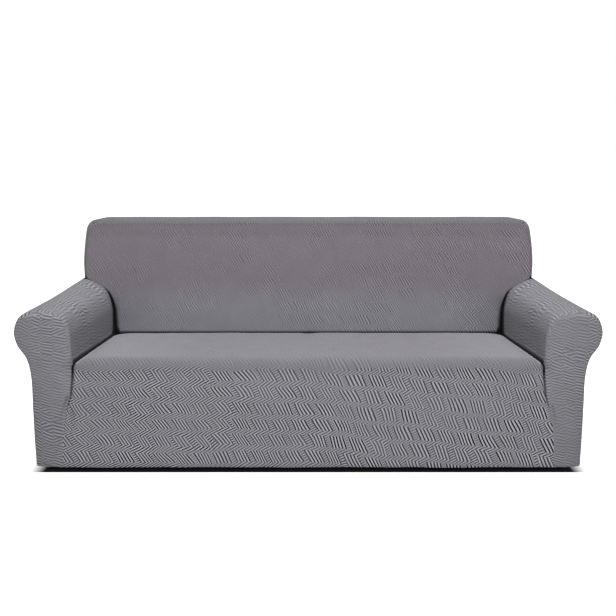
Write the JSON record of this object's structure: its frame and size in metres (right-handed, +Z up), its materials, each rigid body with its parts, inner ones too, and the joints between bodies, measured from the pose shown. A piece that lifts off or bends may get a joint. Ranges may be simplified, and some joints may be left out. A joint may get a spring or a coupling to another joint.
{
  "type": "sofa slipcover",
  "caption": "Fitted stretch-knit slipcover for a straight sofa with rolled arms: hollow, open below, with seat, skirt, backrest and arm panels sewn edge to edge.",
  "frame": {"origin": "underside of the cloth at the middle of the backrest's top, where the sofa under the cover holds it up", "axes": "+X across the sofa, to the right of someone who faces it; +Y to the rear; +Z up"},
  "size_m": [2.2982, 0.886, 0.9425],
  "materials": {
    "seat_cloth": "matt stretch jacquard knit",
    "back_cloth": "matt stretch jacquard knit",
    "arm_cloth": "matt stretch jacquard knit"
  },
  "bodies": {
    "root": {"seat_and_skirt": "seat_cloth", "inside_back": "back_cloth", "back_band": "back_cloth", "back_end_right": "back_cloth", "back_end_left": "back_cloth", "outside_back": "back_cloth", "arm_panel_right": "arm_cloth", "arm_panel_left": "arm_cloth", "arm_front_right": "arm_cloth", "arm_front_left": "arm_cloth"}
  },
  "joints": []
}
